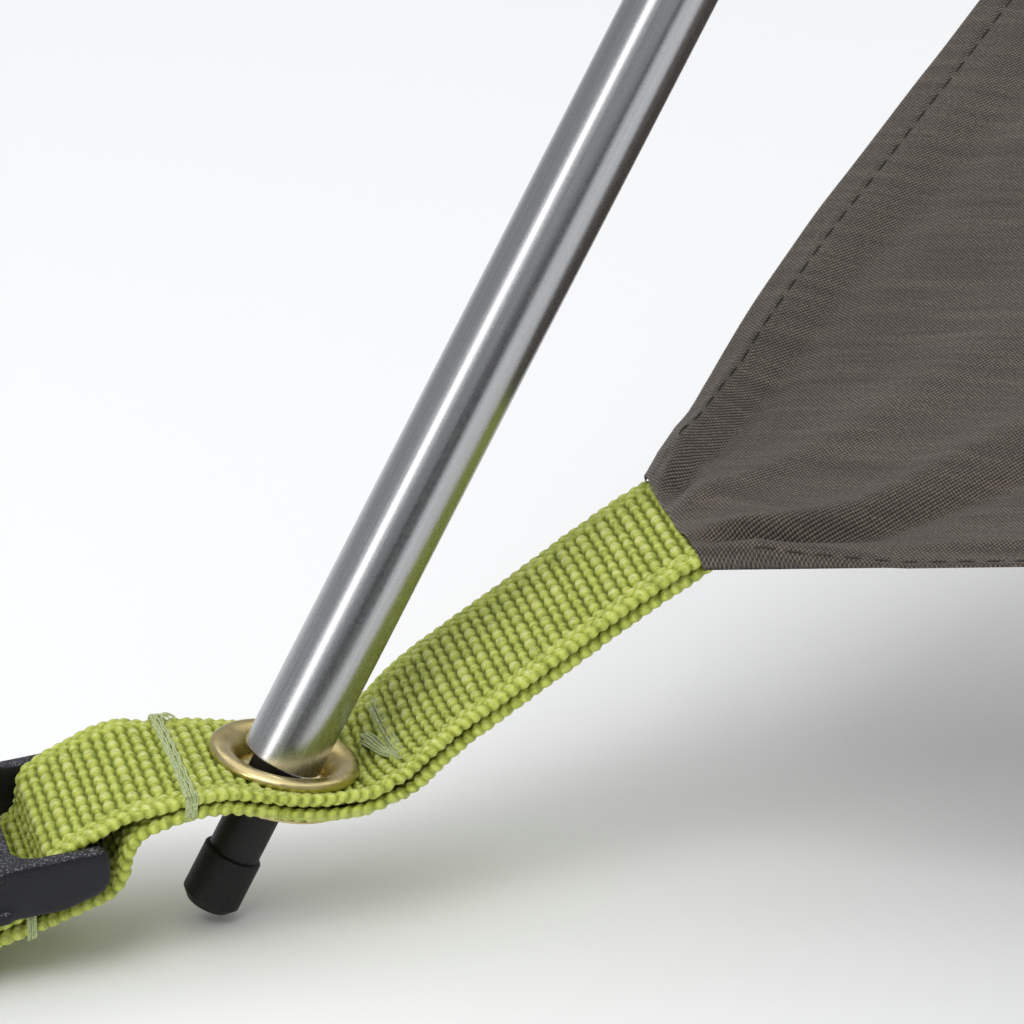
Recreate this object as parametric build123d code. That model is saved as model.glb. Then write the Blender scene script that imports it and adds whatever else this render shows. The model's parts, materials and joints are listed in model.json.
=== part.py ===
from build123d import *
from math import cos, radians, sin
import os

# Corner anchor of a tent flysheet. A doubled webbing strap is sewn into the corner of the fly, carries
# the brass grommet that the pole foot stands in, holds a buckle socket, and ends in a peg loop.
# Row frame, in millimetres: +X points inwards under the pole, +Y across the strap, +Z up.
# The origin is where the peg stands in the peg loop. The strap and the pole lie in the plane Y = 0.

# Strap
PLY = 1.6                      # thickness of one layer of webbing
PLY_GAP = 0.06                 # air between the two layers
WEBBING_WIDTH = 20.5
GROMMET_AT = Vector(80, 0, 13)  # centre of the grommet's rim, from the peg

# Grommet
GROMMET_TILT = 12.0            # the rim's normal leans inwards
BRASS = 0.45
RIM_RADIUS = 7.9
WASHER_BORE = 5.5
WASHER_TOP = -3.7              # heights below the rim's plane
WASHER_BOTTOM = -4.15
BARREL_REACH = 5.35            # the hole in the webbing, round the barrel
# Middle of the eyelet's brass, from the rolled rim through the throat to the curled foot: (radius, height)
EYELET = [(7.66, -0.35), (7.55, 0.1), (7.0, 0.3), (6.2, 0.12), (5.35, -0.6), (4.78, -1.4), (4.46, -2.2),
          (4.6, -3.1), (4.95, -3.95), (5.5, -4.45), (6.2, -4.52)]

# Pole
POLE_LEAN = 26.97              # from the vertical, inwards
POLE_OFFSET = -0.17            # where the pole's axis crosses the rim's plane
TUBE_RADIUS = 4.25
TUBE_WALL = 0.6
TUBE_LENGTH = 260.0
TUBE_START = -0.3              # the tube's lower end, from the rim's plane along the pole
NECK_RADIUS = 2.75
PLUG_TOP = 22.0                # how far up the tube the tip's plug reaches
BARB_RADIUS = 2.15
BARB_LENGTH = 4.6
CAP_RADIUS = 3.15
CAP_TOP = -11.9                # the foot cap's upper lip, along the pole
CAP_LENGTH = 6.5
KNOT_ROOM = 1.65               # radius of the hollow that holds the cord's lower knot
FERRULE_RADIUS = 3.4
FERRULE_WALL = 0.6
FERRULE_SHOWN = 30.0
FERRULE_HIDDEN = 30.0
CORD_RADIUS = 1.25
WASHER_RADIUS = 3.2
WASHER_THICKNESS = 0.68
LOWER_KNOT = (1.55, -8.6)      # radius, and place along the pole
UPPER_KNOT_RADIUS = 2.5
GLUE = 0.05                    # radial gap of a glued joint

# Buckle socket
BAR_AT = Vector(-23.0, 0, -5.5)  # centre of the webbing bar, from the grommet
BUCKLE_PITCH = 6.0             # the mouth hangs this much below the bar
BAR_RADIUS = 1.9
RAIL = 1.9
RAIL_TAIL = 2.8                # how far the rails run past the bar's axis
SLOT_WIDTH = 20.9              # clear width between the two rails
SOCKET_HEIGHT = 6.0
SLOT_END = 6.7                 # from the bar's axis to the far wall of the webbing slot
SOCKET_LENGTH = 29.0           # from the bar's axis to the mouth
MOUTH_HEIGHT = 8.0
MOUTH_CLEAR = 5.4              # inside height of the mouth
NECK_CLEAR = 3.8               # inside height behind the mouth
MOUTH_FLARE = 1.2              # how much wider each side is at the mouth
SIDE_SKIN = 0.8                # how much further in than the slot the hollow's sides stand
BACK_WALL = 2.0                # between the webbing slot and the hollow
WINDOW = (9.0, 3.7, 1.2)       # length, height and corner radius of a side window

# Fly corner
SHEET = 0.8
MOUTH_X = 41.5                 # where the fabric begins, from the grommet
MOUTH_Z = 24.2
MOUTH_HALF = 11.3
HEM_LENGTH = 125.0
FRONT_HEM = (-28.0, 8.5)       # heading from +X towards +Y, and rise, in degrees
BACK_HEM = (46.0, 22.0)
HEM_WIDTH = 5.0
HEM_THICKNESS = 1.0
STRAP_SHARE = 0.075            # the strap's sewn-in end reaches this share of the hems' length
PATCH_SHARE = 0.15             # the patch meets the panel at this share
SEAM_SHARE = 0.95              # the far seam's share of the hems' length
THREAD = 0.35                  # thickness of the sewing thread where it stands proud
STITCH_PITCH = 2.9
STITCH_INSET = 3.3             # from the hem's edge to its row of stitches
HINGE_AT = (27.0, 12.2)        # where the strap flexes between the grommet and the fly
HINGE_SLOPE = 34.5
HINGE_GAP = 1.6

# The doubled strap, between its two layers, from its sewn-in end to the outer tack: (inwards, up)
DOUBLED = [(49.0, 23.0), (45.0, 22.5), (40.5, 21.0), (34.0, 17.0), (27.0, 12.2), (22.0, 8.7),
           (17.5, 5.3), (13.6, 1.4), (10.6, -2.0), (7.4, -3.55), (3.0, -2.68), (-3.0, -1.41),
           (-7.0, -0.56), (-10.0, -0.1), (-12.5, -0.05)]
# Centrelines of the single layers beyond the outer tack
OVER_BAR = [(-15.5, 0.45), (-18.5, -0.15), (-21.3, -1.5), (-23.9, -2.75), (-25.6, -4.1), (-26.0, -6.0),
            (-26.3, -7.7), (-27.5, -9.15), (-30.5, -10.35), (-36.0, -12.2), (-42.0, -14.1), (-46.0, -15.3)]
UNDER_BAR = [(-15.4, -1.5), (-17.4, -2.7), (-18.4, -4.7), (-18.9, -6.8), (-20.3, -8.5), (-23.0, -9.6),
             (-26.5, -10.9), (-30.5, -12.15), (-36.0, -13.95), (-42.0, -15.8), (-46.0, -16.98)]
PEG_LOOP = [(-50.0, -15.35), (-55.0, -13.9), (-62.0, -11.0), (-69.0, -9.3), (-77.0, -9.2), (-83.0, -11.0),
            (-85.4, -13.7), (-83.4, -16.4), (-77.0, -17.15), (-66.0, -17.15), (-55.0, -17.15), (-50.0, -17.15)]
LOOP_STARTS = -46.0            # where the two layers part again to make the peg loop
TACKS = {"inner_tack": (13.0, 16.0), "outer_tack": (-13.4, -10.6)}


def placed(x, z):
    """A point of the strap's plane, given from the grommet."""
    return GROMMET_AT + Vector(x, 0, z)


def offset_points(points, distance, steps=7):
    """Points along the curve through the given ones, moved sideways in the strap's plane."""
    path = Spline(*[placed(x, z) for x, z in points])
    count = steps * (len(points) - 1)
    moved = []
    for i in range(count + 1):
        along = path.tangent_at(i / count)
        side = Vector(along.Z, 0, -along.X)
        moved.append(path.position_at(i / count) + side * distance)
    return moved


def ribbon(points, low, high, width=WEBBING_WIDTH):
    """A strip between two offsets of one curve, as wide as the webbing."""
    one = offset_points(points, low)
    other = offset_points(points, high)
    edges = [Spline(*one), Line(one[-1], other[-1]), Spline(*other), Line(other[0], one[0])]
    face = Face(Wire(edges))
    return extrude(face, amount=width / 2, dir=(0, 1, 0), both=True)


def heading(degrees_from_x, rise):
    """Unit vector with that heading in plan and that rise."""
    flat = cos(radians(rise))
    turn = radians(degrees_from_x)
    return Vector(cos(turn) * flat, sin(turn) * flat, sin(radians(rise)))


def grommet_place():
    """Frame of the grommet: its Z is the rim's normal."""
    return Location(GROMMET_AT) * Rotation(0, GROMMET_TILT, 0)


def pole_place():
    """Frame of the pole: its Z runs up the pole, from the rim's plane."""
    rim = grommet_place() * Pos(POLE_OFFSET, 0, 0)
    return Location(rim.position) * Rotation(0, POLE_LEAN, 0)


def revolved(outline):
    """Solid of revolution about Z, from an outline in the XZ plane."""
    return revolve(Face(Wire(outline)), axis=Axis.Z, revolution_arc=360)


def rod(radius, low, high, bore=0.0):
    """A round bar along Z, hollow if it has a bore."""
    shape = Cylinder(radius, high - low, align=(Align.CENTER, Align.CENTER, Align.MIN))
    if bore:
        shape -= Cylinder(bore, high - low, align=(Align.CENTER, Align.CENTER, Align.MIN))
    return Pos(0, 0, low) * shape


# Grommet, in its own frame

def eyelet():
    """Upper half: rolled rim, dished flange, barrel, and the foot curled over the washer."""
    path = Spline(*[(radius, 0, height) for radius, height in EYELET])
    one, other = [], []
    steps = 48
    for i in range(steps + 1):
        along = path.tangent_at(i / steps)
        side = Vector(-along.Z, 0, along.X) * (BRASS / 2)
        one.append(path.position_at(i / steps) + side)
        other.append(path.position_at(i / steps) - side)
    return revolved([Spline(*one), Line(one[-1], other[-1]), Spline(*other), Line(other[0], one[0])])


def grommet_washer():
    """Lower half: a flat ring with a turned-up edge, between the strap and the curled foot."""
    flat = rod(RIM_RADIUS - 0.2, WASHER_BOTTOM, WASHER_TOP, bore=WASHER_BORE)
    return fillet(flat.edges().filter_by(GeomType.CIRCLE).group_by(SortBy.RADIUS)[-1], 0.2)


def grommet_envelope():
    """What the strap has to leave free for the grommet."""
    flange = Pos(0, 0, -0.85) * Cylinder(RIM_RADIUS + 0.25, 4.0, align=(Align.CENTER, Align.CENTER, Align.MIN))
    dish = Pos(0, 0, -2.1) * Cone(4.9, 7.9, 1.4, align=(Align.CENTER, Align.CENTER, Align.MIN))
    barrel = rod(BARREL_REACH, -6.0, 0.0)
    below = rod(RIM_RADIUS + 0.1, -6.5, WASHER_TOP + 0.06)
    return grommet_place() * (flange + dish + barrel + below)


# Pole, in its own frame

def pole_tube():
    """Aluminium tube, its ends broken by a small chamfer."""
    tube = rod(TUBE_RADIUS, TUBE_START, TUBE_START + TUBE_LENGTH, bore=TUBE_RADIUS - TUBE_WALL)
    rims = tube.edges().filter_by(GeomType.CIRCLE).group_by(SortBy.RADIUS)[-1]
    return chamfer(rims, 0.18)


def pole_tip():
    """Plug glued into the tube, its neck through the grommet, its foot barbed for the cap."""
    inner = TUBE_RADIUS - TUBE_WALL - GLUE
    foot = CAP_TOP - BARB_LENGTH
    shape = rod(inner, TUBE_START + 0.4, PLUG_TOP) + rod(NECK_RADIUS, CAP_TOP, TUBE_START + 0.4)
    shape += rod(BARB_RADIUS, foot, CAP_TOP)
    shape += Pos(0, 0, foot) * Cone(1.9, 2.4, 1.4, align=(Align.CENTER, Align.CENTER, Align.MIN))
    shape = chamfer(shape.edges().filter_by(GeomType.CIRCLE).group_by(Axis.Z)[-1], 0.5)
    shape -= rod(CORD_RADIUS + 0.15, -8.0, PLUG_TOP + 0.5)
    shape -= rod(KNOT_ROOM, foot - 0.4, -6.5)
    return shape


def foot_cap():
    """Rubber foot with a softened rim and a rounded heel, pushed over the barb."""
    end = CAP_TOP - CAP_LENGTH
    cap = rod(CAP_RADIUS, end, CAP_TOP)
    cap = chamfer(cap.edges().filter_by(GeomType.CIRCLE).group_by(Axis.Z)[0], 1.0, 0.9)
    cap = fillet(cap.edges().filter_by(GeomType.CIRCLE).group_by(Axis.Z)[0], 0.4)
    cap = fillet(cap.edges().filter_by(GeomType.CIRCLE).group_by(Axis.Z)[-1], 0.3)
    socket_end = CAP_TOP - BARB_LENGTH - 0.1
    cap -= rod(BARB_RADIUS + GLUE, socket_end, CAP_TOP + 1)
    cap -= Pos(0, 0, socket_end) * Cone(1.95, 2.45, 1.5, align=(Align.CENTER, Align.CENTER, Align.MIN))
    return cap


def pole_ferrule():
    """Sleeve that the next pole section slides over."""
    top = TUBE_START + TUBE_LENGTH
    inner = FERRULE_RADIUS - FERRULE_WALL
    sleeve = rod(TUBE_RADIUS - TUBE_WALL - GLUE, top - FERRULE_HIDDEN, top, bore=inner)
    sleeve += rod(FERRULE_RADIUS, top, top + FERRULE_SHOWN, bore=inner)
    rims = sleeve.edges().filter_by(GeomType.CIRCLE).group_by(Axis.Z)[-1].group_by(SortBy.RADIUS)[-1]
    return chamfer(rims, 0.5, 0.25)


def shock_cord():
    """Elastic cord, stretched from the knot in the tip to the washer on the ferrule."""
    top = TUBE_START + TUBE_LENGTH + FERRULE_SHOWN
    return rod(CORD_RADIUS, -8.5, top + 2.0)


def cord_washer():
    """Keeps the cord's upper knot out of the ferrule."""
    top = TUBE_START + TUBE_LENGTH + FERRULE_SHOWN
    return rod(WASHER_RADIUS, top + 0.02, top + 0.02 + WASHER_THICKNESS, bore=CORD_RADIUS + 0.1)


def cord_knot(radius, at):
    """An overhand knot, as a lump around the cord with the cord's own bore."""
    lump = Pos(0, 0, at) * Sphere(radius)
    return lump - rod(CORD_RADIUS + 0.02, at - 2 * radius, at + 2 * radius)


# Buckle socket: X runs from the webbing bar to the mouth, the origin is the bar's axis

def socket_outline(half_width):
    """Plan of the socket: square at the bar, a little wider at the mouth."""
    mouth = half_width + MOUTH_FLARE
    side = [(-RAIL_TAIL, half_width), (SLOT_END + BACK_WALL, half_width), (SOCKET_LENGTH - 4, mouth),
            (SOCKET_LENGTH, mouth)]
    return [(x, -y) for x, y in side] + side[::-1]


def buckle_socket():
    """One moulding: rails, webbing bar, and the hollow body with its side windows and mouth."""
    half_width = SLOT_WIDTH / 2 + RAIL
    half = SOCKET_HEIGHT / 2
    mouth_half = MOUTH_HEIGHT / 2
    tail = RAIL_TAIL
    side = Polyline((-tail, half - 0.9), (-tail + 0.7, half), (SLOT_END + 4, half), (SLOT_END + 9, mouth_half),
                    (SOCKET_LENGTH, mouth_half), (SOCKET_LENGTH, -mouth_half), (SLOT_END + 9, -mouth_half),
                    (SLOT_END + 4, -half), (2.6, -half), (-tail + 1.3, -half + 1.1), (-tail + 0.2, -half + 2.4),
                    close=True)
    profile = Plane.XZ * make_face(side)
    body = extrude(profile, amount=half_width + 2, both=True)
    body &= extrude(make_face(Polyline(*socket_outline(half_width), close=True)), amount=mouth_half + 1, both=True)
    long_edges = body.edges().filter_by(lambda e: abs(e.tangent_at(0.5).Y) < 0.3 and e.length > 3)
    body = chamfer(long_edges.filter_by(lambda e: abs(e.tangent_at(0.5).Z) < 0.4), 0.6)
    slot_low = -tail - 1
    body -= Pos((slot_low + SLOT_END) / 2, 0, 0) * Box(SLOT_END - slot_low, SLOT_WIDTH, 12)
    neck_start = SLOT_END + BACK_WALL
    neck = SOCKET_LENGTH - neck_start + 1
    hollow = SLOT_WIDTH - 2 * SIDE_SKIN
    body -= Pos(neck_start + neck / 2, 0, 0) * Box(neck, hollow, NECK_CLEAR)
    body -= Pos(neck_start + 5 + neck / 2, 0, 0) * Box(neck, hollow, MOUTH_CLEAR)
    length, height, corner = WINDOW
    window = fillet(Box(length, 40, height).edges().filter_by(Axis.Y), corner)
    body -= Pos(neck_start + 1.1 + length / 2, 0, -0.2) * window
    body += Rotation(90, 0, 0) * Cylinder(BAR_RADIUS, SLOT_WIDTH + RAIL)
    return body


def buckle_place():
    """The socket's frame: its X points outwards and a little down."""
    return Location(GROMMET_AT + BAR_AT) * Rotation(0, -BUCKLE_PITCH, 0) * Rotation(0, 0, 180)


# Fly corner

def hem_start(side):
    """Where a hem leaves the strap: side is -1 at the front, +1 at the back."""
    return placed(MOUTH_X, MOUTH_Z) + Vector(0, side * MOUTH_HALF, 0)


def hem_end(side):
    """The far end of a hem."""
    along = heading(*(FRONT_HEM if side < 0 else BACK_HEM))
    return hem_start(side) + along * HEM_LENGTH


def on_hem(side, share, inset, lift):
    """A point over a hem, at a share of its length and a distance from its edge."""
    start = hem_start(side) + (hem_start(-side) - hem_start(side)).normalized() * inset
    end = hem_end(side) + (hem_end(-side) - hem_end(side)).normalized() * inset
    return start + (end - start) * share + Vector(0, 0, lift)


def bar_section(a, b, thickness):
    """A closed thin rectangle on the line from a to b, its thickness upright."""
    up = Vector(0, 0, thickness / 2)
    return Wire.make_polygon([a + up, b + up, b - up, a - up], close=True)


def between_hems(low, high, inset, thickness):
    """A strip of the sheet from one share of the hems' length to another, inset from each hem."""
    return lofted([(low, 0.0), (high, 0.0)], inset, thickness)


def lofted(stations, inset, thickness):
    """A strip through sections at shares of the hems' length, each dropped below the sheet."""
    sections = []
    for share, fall in stations:
        sections.append(bar_section(on_hem(-1, share, inset, -fall), on_hem(1, share, inset, -fall), thickness))
    return Solid.make_loft(sections, ruled=True)


def fly_panel():
    """The corner of the fly, between its hems and up to the far seam."""
    return between_hems(0, SEAM_SHARE, HEM_WIDTH, SHEET)


def corner_patch():
    """Second layer under the strap's sewn-in end. Beyond the strap it comes up against the panel."""
    below = 2 * PLY + PLY_GAP + SHEET + 3.5
    against = SHEET + 0.1
    stations = [(0.0, below), (STRAP_SHARE, below), (PATCH_SHARE, against), (PATCH_SHARE + 0.05, against)]
    return lofted(stations, HEM_WIDTH + 0.3, SHEET)


def hem(side):
    """A folded hem, thicker than the single sheet."""
    sections = []
    for share in (0, 1):
        edge = on_hem(side, share, 0, 0)
        inner = on_hem(side, share, HEM_WIDTH, 0)
        sections.append(bar_section(edge, inner, HEM_THICKNESS))
    return Solid.make_loft(sections, ruled=True)


def seam_fold():
    """The turned-in far edge, where the rest of the fly is sewn on."""
    return between_hems(SEAM_SHARE, 1.0, HEM_WIDTH, HEM_THICKNESS)


def hem_stitches(side):
    """One row of stitches along a hem, each a short flat thread."""
    along = (on_hem(side, 1, STITCH_INSET, 0) - on_hem(side, 0, STITCH_INSET, 0)).normalized()
    lift = HEM_THICKNESS / 2 + THREAD / 2 + 0.15
    count = int(HEM_LENGTH * 0.95 / STITCH_PITCH)
    row = []
    for i in range(count):
        at = on_hem(side, 0.035 + i * STITCH_PITCH / HEM_LENGTH, STITCH_INSET, lift)
        row.append(Plane(origin=at, x_dir=along, z_dir=Vector(0, 0, 1) - along * along.Z) * stitch())
    return Compound(children=row)


def stitch():
    """One visible stitch, lying along X."""
    return Box(STITCH_PITCH * 0.7, THREAD * 1.3, THREAD)


def corner_stitching():
    """Two rows of stitching across the strap's sewn-in end, on the panel's upper face."""
    rows = []
    for share in (0.012, 0.052):
        front = hem_start(-1) + (hem_end(-1) - hem_start(-1)) * share
        back = hem_start(1) + (hem_end(1) - hem_start(1)) * share
        across = (back - front).normalized()
        span = (back - front).length - 2 * HEM_WIDTH - 2
        count = int(span / STITCH_PITCH)
        middle = (front + back) / 2 + Vector(0, 0, SHEET / 2 + THREAD / 2 + 0.32)
        for i in range(count):
            at = middle + across * (i - (count - 1) / 2) * STITCH_PITCH
            rows.append(Plane(origin=at, x_dir=across, z_dir=(0, 0, 1)) * stitch())
    return Compound(children=rows)


# Webbing

def layer_points(side, beyond):
    """Centreline of one layer, from its sewn-in end, through the outer tack, and beyond."""
    path = Spline(*[placed(x, z) for x, z in DOUBLED])
    points = []
    for x, z in DOUBLED:
        at = placed(x, z)
        along = path.tangent_at(path.param_at_point(at))
        moved = at + Vector(along.Z, 0, -along.X) * side * (PLY + PLY_GAP) / 2 - GROMMET_AT
        points.append((moved.X, moved.Z))
    return points + beyond


def slab(low_x, high_x):
    """Everything between two upright planes across the strap, from the grommet."""
    middle = (low_x + high_x) / 2
    return Location(placed(middle, 0)) * Box(high_x - low_x, 60, 120)


def hinge_gap():
    """The gap across the doubled strap where it flexes, square to the strap."""
    return Location(placed(*HINGE_AT)) * Rotation(0, -HINGE_SLOPE, 0) * Box(HINGE_GAP, 60, 14)


def layer(side, beyond):
    """One whole layer of webbing, as far as the peg loop."""
    strip = ribbon(layer_points(side, beyond), -PLY / 2, PLY / 2)
    strip &= slab(LOOP_STARTS, 80)
    return strip - grommet_envelope() - hinge_gap()


def pieces_split(strip):
    """The two solids of a layer: on the grommet's side of the flex, and on the fly's."""
    return strip.solids().sort_by(Axis.X)


def peg_loop():
    """The end of the strap, turned back on itself round the peg."""
    whole = OVER_BAR[-2:] + PEG_LOOP + UNDER_BAR[:-3:-1]
    turn = len(whole) // 2
    upper_strand = ribbon(whole[:turn + 2], -PLY / 2, PLY / 2)
    lower_strand = ribbon(whole[turn - 1:], -PLY / 2, PLY / 2)
    return (upper_strand + lower_strand) & slab(-120, LOOP_STARTS)


def tack(low_x, high_x):
    """Bar of dense stitching through both layers: what stands proud above and below them."""
    edge = PLY + PLY_GAP / 2 + 0.04
    points = [(x, z) for x, z in DOUBLED if low_x - 9 < x < high_x + 9]
    above = ribbon(points, edge, edge + THREAD, WEBBING_WIDTH)
    below = ribbon(points, -edge - THREAD, -edge, WEBBING_WIDTH)
    return Compound(children=[*(above & slab(low_x, high_x)).solids(), *(below & slab(low_x, high_x)).solids()])


def loop_tack():
    """The tack under the buckle, proud only below the strap."""
    points = UNDER_BAR[3:10]
    return ribbon(points, -PLY / 2 - 0.04 - THREAD, -PLY / 2 - 0.04) & slab(-30.0, -27.0)


upper_strap, upper_arm = pieces_split(layer(1, OVER_BAR))
lower_strap, lower_arm = pieces_split(layer(-1, UNDER_BAR))
in_pole = pole_place()
in_grommet = grommet_place()
nodes = {
    "strap_upper_layer": upper_strap,
    "strap_lower_layer": lower_strap,
    "peg_loop": peg_loop(),
    "outer_tack": tack(*TACKS["outer_tack"]),
    "inner_tack": tack(*TACKS["inner_tack"]),
    "loop_tack": loop_tack(),
    "grommet_eyelet": in_grommet * eyelet(),
    "grommet_washer": in_grommet * grommet_washer(),
    "pole_tube": in_pole * pole_tube(),
    "pole_tip": in_pole * pole_tip(),
    "foot_cap": in_pole * foot_cap(),
    "pole_ferrule": in_pole * pole_ferrule(),
    "shock_cord": in_pole * shock_cord(),
    "cord_washer": in_pole * cord_washer(),
    "cord_lower_knot": in_pole * cord_knot(*LOWER_KNOT),
    "cord_upper_knot": in_pole * cord_knot(UPPER_KNOT_RADIUS, TUBE_START + TUBE_LENGTH + FERRULE_SHOWN + 3.0),
    "buckle_socket": buckle_place() * buckle_socket(),
    "arm_upper_layer": upper_arm,
    "arm_lower_layer": lower_arm,
    "fly_panel": fly_panel(),
    "corner_patch": corner_patch(),
    "front_hem": hem(-1),
    "back_hem": hem(1),
    "seam_fold": seam_fold(),
    "front_hem_stitching": hem_stitches(-1),
    "back_hem_stitching": hem_stitches(1),
    "corner_stitching": corner_stitching(),
}
os.makedirs("parts", exist_ok=True)
for name, shape in nodes.items():
    export_step(shape, f"parts/{name}.step")
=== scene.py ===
"""A tent's corner anchor: doubled webbing, grommet, pole foot, buckle socket and the fly's corner."""
import json
from math import atan2, cos, pi, radians, sin, sqrt

import bmesh
import bpy
import numpy as np
from mathutils import Matrix, Vector


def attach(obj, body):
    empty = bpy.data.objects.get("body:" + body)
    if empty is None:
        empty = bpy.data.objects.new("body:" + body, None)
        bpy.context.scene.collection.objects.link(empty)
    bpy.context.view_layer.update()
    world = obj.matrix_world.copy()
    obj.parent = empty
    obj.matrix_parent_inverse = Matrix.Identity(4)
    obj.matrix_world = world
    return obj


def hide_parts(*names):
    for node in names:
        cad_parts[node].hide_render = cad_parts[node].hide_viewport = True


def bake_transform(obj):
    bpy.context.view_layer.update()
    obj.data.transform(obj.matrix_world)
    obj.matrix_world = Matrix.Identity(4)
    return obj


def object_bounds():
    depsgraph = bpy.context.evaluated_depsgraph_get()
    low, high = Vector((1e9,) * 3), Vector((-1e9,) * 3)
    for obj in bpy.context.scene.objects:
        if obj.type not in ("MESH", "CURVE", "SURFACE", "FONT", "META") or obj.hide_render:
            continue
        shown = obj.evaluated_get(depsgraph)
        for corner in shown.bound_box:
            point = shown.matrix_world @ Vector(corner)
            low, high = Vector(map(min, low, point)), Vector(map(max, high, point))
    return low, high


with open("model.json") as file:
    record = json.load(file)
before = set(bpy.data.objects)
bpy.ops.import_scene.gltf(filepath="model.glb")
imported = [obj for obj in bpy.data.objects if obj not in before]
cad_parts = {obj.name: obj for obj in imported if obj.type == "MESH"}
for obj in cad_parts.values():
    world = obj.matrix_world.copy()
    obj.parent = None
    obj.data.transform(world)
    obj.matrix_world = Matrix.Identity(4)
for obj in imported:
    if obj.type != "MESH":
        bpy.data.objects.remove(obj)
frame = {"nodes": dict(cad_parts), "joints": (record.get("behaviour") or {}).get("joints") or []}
cad_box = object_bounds()

# Lengths are in millimetres, in the frame that was loaded, until a mesh is made.
MM = 0.001
JOINTS = {joint["name"]: joint for joint in frame["joints"]}
BAR = np.array(JOINTS["buckle_swing"]["pos_m"]) / MM          # axis of the buckle's webbing bar
GROMMET = BAR + np.array((23.0, 0.0, 5.5))                    # centre of the grommet's rim
POLE_AXIS = np.array(JOINTS["pole_lift"]["axis"])
GROUND = cad_box[0][2] / MM                                   # the foot cap's heel

GROMMET_TILT = radians(12.0)
BUCKLE_PITCH = radians(6.0)
WEBBING_WIDTH = 20.5
PLY_BASE = 0.5                 # half the solid thickness of one layer, under its floats
PLY_STEP = 0.82                # from the face between the two layers to a layer's middle
END_PITCH = 0.97               # across: one warp end
PICK_PITCH = 1.26              # along: one weft pick
SELVEDGE = 8.2                 # from the middle to where the edge weave starts
EDGE_YARN = 1.05               # across: one float of the edge weave
GRAIN_LONG, GRAIN_WIDE = 0.13, 0.11    # size of the roughness on each float
YARN_STEPS = 9                 # rows of mesh points for each yarn
LOWER_SHIFT = 0.45             # the lower layer lies this much further back than the upper one
LOWER_LENGTH = 66.0            # the webbing's last stretch, which is that layer
LOWER_EASE = 8.0               # the shift comes in over this much of it
SEWN_FROM, SEWN_FLAT = 41.0, 43.5      # where the webbing goes under the fly, and where it is pressed flat
BARREL_REACH = 5.3             # the hole in the webbing, round the grommet's barrel
BARREL_FLOOR = -8.0            # webbing lower than this has no hole

# The doubled strap, between its two layers, from the sewn-in end to the outer tack: (inwards, up)
DOUBLED = [(47.0, 22.8), (45.0, 22.5), (40.5, 21.0), (34.0, 17.0), (27.0, 12.2), (22.0, 8.7),
           (17.5, 5.3), (13.6, 1.4), (10.6, -2.0), (7.4, -3.55), (3.0, -2.68), (-3.0, -1.41),
           (-7.0, -0.56), (-10.0, -0.1), (-12.5, -0.05)]
# Middles of the single layers, over and under the buckle's bar
OVER_BAR = [(-15.5, 0.45), (-18.5, -0.15), (-21.3, -1.5), (-23.9, -2.75), (-25.6, -4.1), (-26.0, -6.0),
            (-26.3, -7.7), (-27.5, -9.15), (-30.5, -10.35), (-36.0, -12.2), (-42.0, -14.1), (-46.0, -15.3)]
UNDER_BAR = [(-15.4, -1.5), (-17.4, -2.7), (-18.4, -4.7), (-18.9, -6.8), (-20.3, -8.5), (-23.0, -9.6),
             (-26.5, -10.9), (-30.5, -12.15), (-36.0, -13.95), (-42.0, -15.8), (-46.0, -16.98)]
PEG_LOOP = [(-50.0, -15.35), (-55.0, -13.9), (-62.0, -11.0), (-69.0, -9.3), (-77.0, -9.2), (-83.0, -11.0),
            (-85.4, -13.7), (-83.4, -16.4), (-77.0, -17.15), (-66.0, -17.15), (-55.0, -17.15),
            (-50.0, -17.15)]
# How far the strap's near and far edges stand above its middle: (inwards, rise)
NEAR_CUP = [(-14.0, 0.0), (-12.5, 0.25), (-10.8, 0.5), (-7.6, 1.0), (-0.4, 1.07), (2.8, 1.5), (5.3, 2.3),
            (9.2, 3.0), (13.2, 1.7), (16.2, 1.0), (19.0, 0.4), (24.0, 0.15), (40.0, 0.0)]
FAR_CUP = [(-15.5, 0.0), (-12.8, -0.9), (-10.0, -1.0), (-7.0, -0.9), (0.0, -0.8), (6.0, 0.6), (9.2, 1.6),
           (13.2, 0.9), (18.0, -0.1), (24.0, -0.5), (40.0, -0.5)]
# What the grommet presses the webbing against: (distance from its axis, height)
RIM_PRESS = [(4.9, -1.75), (5.4, -0.95), (6.0, -0.45), (6.7, -0.15), (7.6, -0.4), (8.2, -0.5), (8.6, 9.0)]
WASHER_PRESS = [(7.7, -3.66), (8.3, -9.0)]


# Shaders

def new_material(name):
    """A node material, its tree and its Principled shader."""
    material = bpy.data.materials.new(name)
    material.use_nodes = True
    return material, material.node_tree, material.node_tree.nodes["Principled BSDF"]


def add(tree, kind, **values):
    """A node, with its properties or its inputs set by name."""
    node = tree.nodes.new(kind)
    for name, value in values.items():
        if name in node.bl_rna.properties:
            setattr(node, name, value)
        else:
            node.inputs[name.replace("_", " ")].default_value = value
    return node


def calc(tree, operation, a, b=0.0):
    """A math node on two sockets or numbers; returns its output."""
    node = tree.nodes.new("ShaderNodeMath")
    node.operation = operation
    for socket, value in zip(node.inputs, (a, b)):
        if isinstance(value, (int, float)):
            socket.default_value = value
        else:
            tree.links.new(value, socket)
    return node.outputs[0]


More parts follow.
